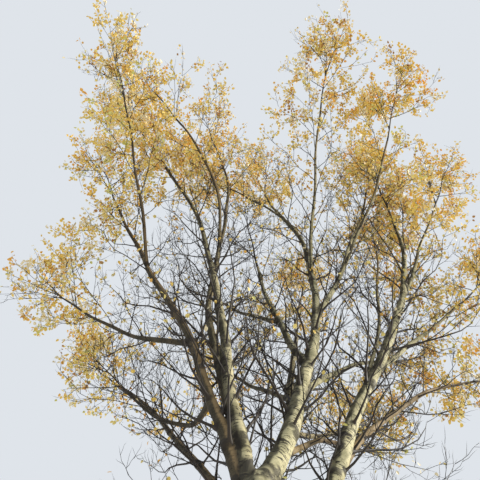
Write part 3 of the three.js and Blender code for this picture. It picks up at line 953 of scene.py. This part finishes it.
# Lays the bark's relief on a piece and stores what its finish needs at each point.
def dressBark(piece, isTube=False):
    points = pointsOf(piece)
    found = nearestLimb(points)
    grain, radius = barkGrain(found)
    rough = np.where(found["limb"] == 0, smoothStep(found["arc"], *barkRelief["roughHeights"]), 0.0)
    rough = np.clip(rough * 1.15 + 0.45 * cloudNoise(grain * 3.0, 5) * rough, 0, 1)
    relief = np.zeros(len(points))
    scar = np.zeros(len(points))
    for seed, (clouds, high) in enumerate(barkRelief["swellings"], 1):
        relief += cloudNoise(grain * clouds, seed) * high * radius
    if not isTube:
        bend = cloudNoise(grain * 9, 8)[:, None] * barkRelief["grooveBend"]
        ridges = 1 - np.abs(cloudNoise(grain * barkRelief["grooves"] + bend, 3))
        groove = rough * smoothStep(ridges, 0.8, 0.97)
        chips = rough * np.abs(cloudNoise(grain * barkRelief["chips"], 4))
        relief -= groove * barkRelief["grooveDepth"] + chips * barkRelief["chipDepth"]
        scar = np.clip(groove * 1.3, 0, 0.9)
    addKnots(points, grain, relief, scar)
    addSockets(points, grain, scar)
    fork, crease = forkShares(points, found)
    wrinkle = cloudNoise(grain * barkRelief["wrinkles"], 6)
    relief += crease * wrinkle * barkRelief["wrinkleHeight"]
    # the creases at the forks and the trunk's crotch darken: wrinkled bark with painted shade
    scar = np.maximum(scar, np.clip(crease * (0.8 + 0.5 * wrinkle), 0, 1))
    # painted shade: the side away from the sun, with a ragged edge, is marked to take the dark shade colour
    ragged = 0.25 * cloudNoise(grain * [7, 7, 3], 9) + 0.22 * cloudNoise(grain * [26, 26, 14], 13)
    shaded = smoothStep(found["outward"] @ barkPlan["shadedSide"] + ragged, -0.04, 0.2)
    if isTube:
        movePoints(piece, dressedTube(points, found, radius, relief))
    else:
        movePoints(piece, dressedStock(points, found, radius, relief, fork))
    thin = smoothStep(found["radius"], 0.008, 0.036)
    storeValues(piece, {
        "grain": grain,
        "tone": limbValues(found, "tone") * (0.3 + 0.7 * thin),
        "rough": rough,
        "scar": np.clip(scar, 0, 1),
        "shaded": shaded * (1 - 0.5 * rough),
    })
    piece.data.materials.append(bark)
    makeActive(piece)
    bpy.ops.object.shade_smooth_by_angle(angle=math.radians(65))
    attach(piece, "root")
    triangles = sum(len(face.vertices) - 2 for face in piece.data.polygons)
    print(piece.name, "bark laid:", triangles, "triangles")


# A copy of a piece between two heights, closed where it is cut.
def cutOut(piece, name, low, high):
    part = addObject(name, piece.data.copy())
    makeActive(part)
    bpy.ops.object.mode_set(mode="EDIT")
    for height, keepAbove in ((low, True), (high, False)):
        if height is None:
            continue
        bpy.ops.mesh.select_all(action="SELECT")
        bpy.ops.mesh.bisect(
            plane_co=(0, 0, height),
            plane_no=(0, 0, 1),
            use_fill=True,
            clear_inner=keepAbove,
            clear_outer=not keepAbove,
        )
    bpy.ops.object.mode_set(mode="OBJECT")
    return part


# Rounds off the places where limbs meet, as wood grows over them.
def roundForks(piece):
    found = nearestLimb(pointsOf(piece))
    weights = smoothStep(found["second"] / np.maximum(found["radius"], 0.02), 0.9, 0.15)
    group = piece.vertex_groups.new(name="forks")
    for level in range(1, 11):
        chosen = np.flatnonzero(np.round(weights * 10) == level)
        group.add(chosen.tolist(), level / 10, "REPLACE")
    applyModifier(piece, "SMOOTH", factor=0.5, iterations=barkPlan["forkRounds"], vertex_group="forks")
    piece.vertex_groups.clear()


stock = tubesFromLines("stock", stockLines(), 8)
applyModifier(stock, "REMESH", mode="VOXEL", voxel_size=barkPlan["voxel"])
applyModifier(stock, "SMOOTH", factor=0.5, iterations=5)
roundForks(stock)
print("limbs joined:", len(stock.data.polygons), "faces")
trunkBark, forkBark, stemsBark = (cutOut(stock, name, *cuts) for name, cuts in barkPlan["cuts"].items())
bpy.data.objects.remove(stock)
makeActive(trunkBark)
bpy.ops.object.mode_set(mode="EDIT")
bpy.ops.mesh.select_all(action="SELECT")
bpy.ops.mesh.subdivide(number_cuts=1, smoothness=0)
bpy.ops.object.mode_set(mode="OBJECT")
boughsBark = tubesFromLines("boughsBark", tubeLines(), 6)
dressBark(trunkBark)
dressBark(forkBark)
dressBark(stemsBark)
dressBark(boughsBark, isTube=True)
joinedNames = [limb["name"] for limb in limbs if limb["joined"] >= limb["length"] * 0.5]
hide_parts("trunk")
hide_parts("trunk", *joinedNames)
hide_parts(*joinedNames)
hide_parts(*[limb["name"] for limb in limbs if limb["name"] not in joinedNames])


# Foliage: the source's stem, twigs and side twigs in each mass, then finer twigs within the same reach.

foliagePlan = {
    "centreAhead": 0.72,
    "stemLength": 1.5,
    "stemTip": 0.011,
    "clearOfNeighbours": 0.006,
    "clearOfLimbs": 0.045,
    "moreTwigs": 12,  # after the source's six
    "moreTwigsSize": (0.85, 0.8),  # in length and in radius
    "finerTip": 0.003,
    "twigThinning": 0.64,
}
twigPlan = {"count": 6, "first": 0.14, "last": 0.94, "length": 1.02, "shortening": 0.42, "spread": 50}
forkPlan = {"at": 0.42, "share": 0.62, "spread": 55}  # the side twig of each twig


# Mulberry32: the same numbers on every run from one seed, and the same as in the source.
def seededRandom(seed):
    state = [seed & 0xFFFFFFFF]

    def draw():
        state[0] = (state[0] + 0x6D2B79F5) & 0xFFFFFFFF
        mixed = ((state[0] ^ state[0] >> 15) * (state[0] | 1)) & 0xFFFFFFFF
        mixed ^= (mixed + (mixed ^ mixed >> 7) * (mixed | 61)) & 0xFFFFFFFF
        return ((mixed ^ mixed >> 14) & 0xFFFFFFFF) / 4294967296

    return draw


def layOutMasses():
    masses = []
    for limb in limbs:
        if not limb["reach"]:
            continue
        tip = placeOn(limb, 1)[0][0]
        stem = {
            "name": "stem",
            "origin": tip + limb["arriving"] * joint["gap"],
            "leaving": limb["arriving"],
            "arriving": unit(limb["arriving"] + up * upwards),
            "length": limb["reach"] * foliagePlan["stemLength"],
            "root": limb["tip"],
            "tip": foliagePlan["stemTip"],
            "swell": 0.0,
            "phase": limb["phase"],
        }
        masses.append({
            "name": limb["name"],
            "middle": tip + limb["arriving"] * limb["reach"] * foliagePlan["centreAhead"],
            "reach": limb["reach"],
            "stem": stem,
            "seed": 7001 + 97 * limb["index"],
        })
    return masses


masses = layOutMasses()
massMiddles = np.array([mass["middle"] for mass in masses])
massReaches = np.array([mass["reach"] for mass in masses])


# A test for points: inside the mass's own space, clear of every limb and inside the solids' box.
def spaceTest(number):
    mass = masses[number]
    others = np.arange(len(masses)) != number
    otherMiddles = massMiddles[others]
    otherReaches = massReaches[others]
    margins = 2 * foliagePlan["clearOfNeighbours"] * np.linalg.norm(otherMiddles - mass["middle"], axis=1)
    near = np.linalg.norm(spotMiddles - mass["middle"], axis=1) < mass["reach"] * 1.3
    nearMiddles = spotMiddles[near]
    nearRadii = spotRadii[near]

    def fits(points, limbMargin):
        own = ((points - mass["middle"]) ** 2).sum(axis=1) - mass["reach"] ** 2
        apart = ((points[:, None, :] - otherMiddles[None, :, :]) ** 2).sum(axis=2)
        theirs = apart - otherReaches**2
        good = (own <= 0) & np.all(theirs - own[:, None] > margins, axis=1) & insideBox(points)
        return good & clearOfSpots(points, nearMiddles, nearRadii, limbMargin)

    return fits


def growMass(number):
    mass = masses[number]
    stem = mass["stem"]
    fits = spaceTest(number)
    random = np.random.default_rng(mass["seed"])
    while stem["length"] > 0.2 and not fits(placeOn(stem, [0.5, 0.7, 0.85, 1])[0], 0.02).all():
        stem["length"] *= 0.85
    middles = placeOn(stem, np.linspace(0, 1, 14))[0]
    middles[0] -= stem["leaving"] * 0.02
    keepTwig("branchlet", middles, taper(stem["root"] * 0.985, foliagePlan["finerTip"], 14))

    def twigFits(points):
        return fits(points, foliagePlan["clearOfLimbs"]).all()

    def sideTwigFits(points):
        return fits(points, 0.03).all()

    def addTwig(start, out, length, thick):
        line, grown = growLine("twig", start, out, length, random, twigFits)
        if grown:
            keepTwig("branchlet", line, taper(thick, 0.0022, len(line)))
            growSideTwigs(line, thick, grown, random, 0.15, sideTwigFits)
        return line, grown

    for i in range(twigPlan["count"] + foliagePlan["moreTwigs"]):
        draw = seededRandom(mass["seed"] + i)
        stretch = 0.85 + 0.25 * draw()
        draw()  # the number that turns the source's enlarged sprays
        sideTurn = 360 * draw()
        isExtra = i >= twigPlan["count"]
        place = (i * 0.618) % 1 if isExtra else i / (twigPlan["count"] - 1)
        share = twigPlan["first"] + (twigPlan["last"] - twigPlan["first"]) * place
        middle, along, radius = spotOn(stem, share)
        out = sideDirection(along, i * goldenAngle + mass["seed"], twigPlan["spread"] * (1.1 - 0.4 * share))
        length = mass["reach"] * (twigPlan["length"] - twigPlan["shortening"] * share) * stretch
        if isExtra:
            shorter, thinner = foliagePlan["moreTwigsSize"]
            length *= shorter
            radius *= thinner
        thinning = foliagePlan["twigThinning"]
        line, grown = addTwig(middle, out, length, radius * thinning * 0.8)
        if grown:
            fork, onward = lineAt(line, forkPlan["at"])
            sideOut = sideDirection(out, sideTurn, forkPlan["spread"])
            sideRadius = radius * thinning * (1 - forkPlan["at"]) * thinning
            addTwig(fork, sideOut, grown * forkPlan["share"], sideRadius)
    return fits


leafTests = []  # the first and last spray of each mass, and its test
for number in range(len(masses)):
    firstSpray = len(sprayStems)
    fits = growMass(number)
    leafTests.append((firstSpray, len(sprayStems), fits))
print("twigs grown:", sum(len(lines) for lines in twigLines.values()), "sprays:", len(sprayStems))


def meshPiece(name, vertices, triangles, material, slotName, smooth=True):
    mesh = bpy.data.meshes.new(name)
    mesh.vertices.add(len(vertices))
    mesh.vertices.foreach_set("co", np.ascontiguousarray(vertices, dtype=np.float32).ravel())
    mesh.loops.add(triangles.size)
    mesh.loops.foreach_set("vertex_index", triangles.astype(np.int32).ravel())
    mesh.polygons.add(len(triangles))
    mesh.polygons.foreach_set("loop_start", np.arange(0, triangles.size, 3, dtype=np.int32))
    mesh.update(calc_edges=True)
    mesh.polygons.foreach_set("use_smooth", np.full(len(triangles), smooth))
    mesh.materials.append(material)
    piece = addObject(name, mesh)
    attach(piece, "root")
    return piece


# Tapering tubes along many lines of one number of joints, each closed at its root and pointed at its tip.
def tubeArrays(lines, radii, sides):
    count, joints = radii.shape
    along = unit(np.gradient(lines, axis=1))
    level = np.where(np.abs(along[:, :1, 2:3]) < 0.9, up, right)
    across = unit(np.cross(along, level))
    beside = np.cross(along, across)
    angles = np.arange(sides) * 2 * math.pi / sides
    ring = across[:, :-1, None] * np.cos(angles)[:, None] + beside[:, :-1, None] * np.sin(angles)[:, None]
    rings = lines[:, :-1, None] + ring * radii[:, :-1, None, None]
    vertices = np.concatenate([rings.reshape(count, -1, 3), lines[:, -1:]], axis=1)
    triangles = []
    for i in range(joints - 2):
        for j in range(sides):
            a = i * sides + j
            b = i * sides + (j + 1) % sides
            triangles.append((a, b, b + sides))
            triangles.append((a, b + sides, a + sides))
    last = (joints - 2) * sides
    for j in range(sides):
        triangles.append((last + j, last + (j + 1) % sides, last + sides))
    for j in range(1, sides - 1):
        triangles.append((0, j + 1, j))
    each = vertices.shape[1]
    faces = np.array(triangles)[None] + (np.arange(count) * each)[:, None, None]
    return vertices.reshape(-1, 3), faces.reshape(-1, 3)


trianglesInPiece = 190000


def joinedTubes(name, parts, material):
    starts = np.cumsum([0] + [len(vertices) for vertices, faces in parts])
    vertices = np.concatenate([part[0] for part in parts])
    faces = np.concatenate([part[1] + start for part, start in zip(parts, starts)])
    print(name, "made:", len(faces), "triangles")
    return meshPiece(name, vertices, faces, material, "bark")


# Joins the kept lines of one kind into pieces, each under the limit of triangles.
def twigPieces(kind, name, sides, material):
    pieces = [[]]
    total = 0
    for (lineKind, joints), entries in sorted(twigLines.items()):
        if lineKind != kind:
            continue
        each = (joints - 2) * sides * 2 + sides + sides - 2
        position = 0
        while position < len(entries):
            room = (trianglesInPiece - total) // each
            if room < 50:
                pieces.append([])
                total = 0
                room = trianglesInPiece // each
            chosen = entries[position:position + room]
            position += len(chosen)
            total += len(chosen) * each
            lines, radii = (np.array(part) for part in zip(*chosen))
            pieces[-1].append(tubeArrays(lines, radii, sides))
    return [joinedTubes(f"{name}{number}", parts, material) for number, parts in enumerate(pieces, 1)]


branchlets = twigPieces("branchlet", "branchlets", 5, branchletRind)
fineTwigs = twigPieces("twig", "fineTwigs", 3, twigSkinAndShade)


# Leaves: rounded poplar leaves on thin stalks, set by turns along the ends of the twigs.

leafPlan = {
    "seed": 2024,
    "apart": 0.026,  # along a twig
    "mostInSpray": 11,
    "spread": 62,
    "spreadAtTip": 20,
    "hang": (0.1, 1.1),  # how strongly their blades are drawn down
    "bladeLength": (0.043, 0.064),
    "bladeWidth": 0.86,  # of its length
    "stalkLength": (0.02, 0.04),
    "stalkThickness": 0.0016,
    "onShoots": 1.15,  # how many have not fallen yet in a full spray, on the side shoots
    "onMasses": 0.68,  # and at the ends of the boughs
}
# Dry autumn leaves, thin and matt with a soft sheen: the tints, one to a spray, and how common each is.
leafRoughness = 0.55
leafTints = {
    "goldLeaves": ("#fdd86c", 0.28),
    "brightYellowLeaves": ("#fde588", 0.3),
    # pale yellow, and partly a painted highlight: it stands in for leaves in sunlight
    "paleYellowLeaves": ("#fdeec6", 0.24),
    # amber, and partly painted shade: it stands in for leaves in shadow
    "amberLeaves": ("#f8bf58", 0.1),
    "yellowGreenLeaves": ("#e6e086", 0.05),
    "brownLeaves": ("#bd8b4e", 0.03),
}
# A leaf's outline: across, along and height, as shares of its length. Its two halves fold up from the midrib.
leafOutline = np.array([
    (-0.26, 0.06, 0.05),
    (-0.46, 0.34, 0.11),
    (-0.34, 0.70, 0.07),
    (0.0, 1.0, -0.08),
    (0.34, 0.70, 0.07),
    (0.46, 0.34, 0.11),
    (0.26, 0.06, 0.05),
])
leafFaces = np.array([(2, 4, 3), (2, 5, 4), (2, 6, 5), (2, 7, 6), (2, 8, 7), (2, 9, 8), (0, 1, 2)])


# Deals out the leaves of every spray. The leaves of one spray have one tint.
def leafSpots(random):
    plan = leafPlan
    shares = np.array([share for colour, share in leafTints.values()])
    leafiness = leafShare(np.array([line[-1] for line, length in sprayStems]))
    onShoots = (-1, (0, leafTests[0][0], None))
    spots = []
    for owner, (first, last, fits) in [onShoots, *enumerate(leafTests)]:
        stillOn = plan["onShoots"] if owner < 0 else plan["onMasses"]
        for number, (line, length) in enumerate(sprayStems[first:last], first):
            keep = leafiness[number] * random.uniform(0.3, 1.3) * stillOn
            count = int(max(length, 0.1) / plan["apart"])
            tint = random.choice(len(shares), p=shares / shares.sum())
            turn = random.uniform(0, 360)
            for i in range(min(count, plan["mostInSpray"])):
                if random.uniform() > keep:
                    continue
                start, along = lineAt(line, 1 - (i + 0.1) * 0.9 / max(count, 3) * random.uniform(0.8, 1.1))
                spread = plan["spread"] if i else plan["spreadAtTip"]
                spots.append((start, sideDirection(along, turn + i * goldenAngle, spread), tint, owner))
    return (np.array(part) for part in zip(*spots))


def growLeaves():
    plan = leafPlan
    random = np.random.default_rng(plan["seed"])
    starts, outs, tints, owners = leafSpots(random)
    count = len(starts)
    stalk = random.uniform(*plan["stalkLength"], (count, 1))
    size = random.uniform(*plan["bladeLength"], (count, 1))
    swing = random.normal(size=(count, 3)) * 0.4
    along = unit(outs * 0.6 + swing - up * random.uniform(*plan["hang"], (count, 1)))
    facing = unit(up * 0.3 + random.normal(size=(count, 3)) * 0.6)
    across = unit(np.cross(along, facing))
    base = starts + outs * stalk - up * stalk * 0.25
    outline = leafOutline * [plan["bladeWidth"] / np.ptp(leafOutline[:, 0]), 1, 1]
    blade = base[:, None]
    for part, aside in enumerate((across, along, np.cross(across, along))):
        blade = blade + aside[:, None] * outline[:, part, None] * size[:, None]
    width = plan["stalkThickness"] / 2
    roots = [(starts - across * width)[:, None], (starts + across * width)[:, None]]
    leaves = np.concatenate([*roots, base[:, None], blade], axis=1)
    corners = leaves.shape[1]
    tips = leaves[:, 6]  # the foremost point of each blade
    fitting = insideBox(leaves.reshape(-1, 3), 0.0).reshape(count, -1).all(axis=1)
    for owner, (first, last, fits) in enumerate(leafTests):
        mine = np.flatnonzero((owners == owner) & fitting)
        for part in np.array_split(mine, max(len(mine) // 1000, 1)):
            if len(part):
                fitting[part] = fits(tips[part], 0.02)
    pieces = []
    for number, (name, (colour, share)) in enumerate(leafTints.items()):
        chosen = leaves[fitting & (tints == number)]
        faces = leafFaces[None] + (np.arange(len(chosen)) * corners)[:, None, None]
        arrays = (chosen.reshape(-1, 3), faces.reshape(-1, 3))
        material = plainMaterial(name, colour, leafRoughness)
        pieces.append(meshPiece(name, *arrays, material, "foliage", smooth=False))
        print(name, "made:", len(chosen), "leaves")
    return pieces


leafPieces = growLeaves()
foliageNames = [f"foliage_{mass['name']}" for mass in masses]
for piece in branchlets + fineTwigs + leafPieces:
    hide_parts(*foliageNames)


# The studio: a pale floor, soft light and the photograph's view up into the crown.

studio = {
    "floor": "#cfcdc6",
    "skyLight": "#dfe7f2",
    "skyStrength": 0.8,
    "backdrop": "#dfe4ea",  # brighter than the light it gives, so that the shadows keep their depth
    "sunStrength": 3.8,
    "sunAngle": 8,
    "sunColour": (1.0, 0.95, 0.84),
    "sunFrom": (91, 28),  # its bearing from +Y towards +X and its height above level
}
view = {"place": (-0.15, -3.6, 1.6), "rise": 65, "field": 52, "sensor": 36}


def buildStudio():
    deselectAll()
    bpy.ops.mesh.primitive_plane_add(size=90, location=(0, 0, 0))
    floor = bpy.context.object
    floor.name = "studioFloor"
    floor.data.materials.append(plainMaterial("paleFloor", studio["floor"], 0.9))
    world = bpy.data.worlds.new("studioWorld")
    world.use_nodes = True
    tree = world.node_tree
    softLight = tree.nodes["Background"]
    softLight.inputs["Color"].default_value = linear(studio["skyLight"])
    softLight.inputs["Strength"].default_value = studio["skyStrength"]
    backdrop = addNode(tree, "Background", {"Color": linear(studio["backdrop"]), "Strength": 1.0})
    seen = addNode(tree, "LightPath", output="Is Camera Ray")
    both = addNode(tree, "MixShader", (seen, softLight.outputs[0], backdrop))
    tree.links.new(both, tree.nodes["World Output"].inputs["Surface"])
    bpy.context.scene.world = world
    sun = addObject("softSun", bpy.data.lights.new("softSun", "SUN"))
    sun.data.energy = studio["sunStrength"]
    sun.data.angle = math.radians(studio["sunAngle"])
    sun.data.color = studio["sunColour"]
    sun.rotation_euler = Vector(direction(*studio["sunFrom"])).to_track_quat("Z", "Y").to_euler()
    bpy.context.scene.view_settings.view_transform = "Standard"


def placeCamera():
    camera = addObject("camera", bpy.data.cameras.new("camera"))
    camera.location = view["place"]
    camera.rotation_euler = (math.radians(90 + view["rise"]), 0, 0)
    camera.data.sensor_width = view["sensor"]
    camera.data.lens = view["sensor"] / 2 / math.tan(math.radians(view["field"] / 2))
    bpy.context.scene.camera = camera


buildStudio()
placeCamera()
print("studio set")
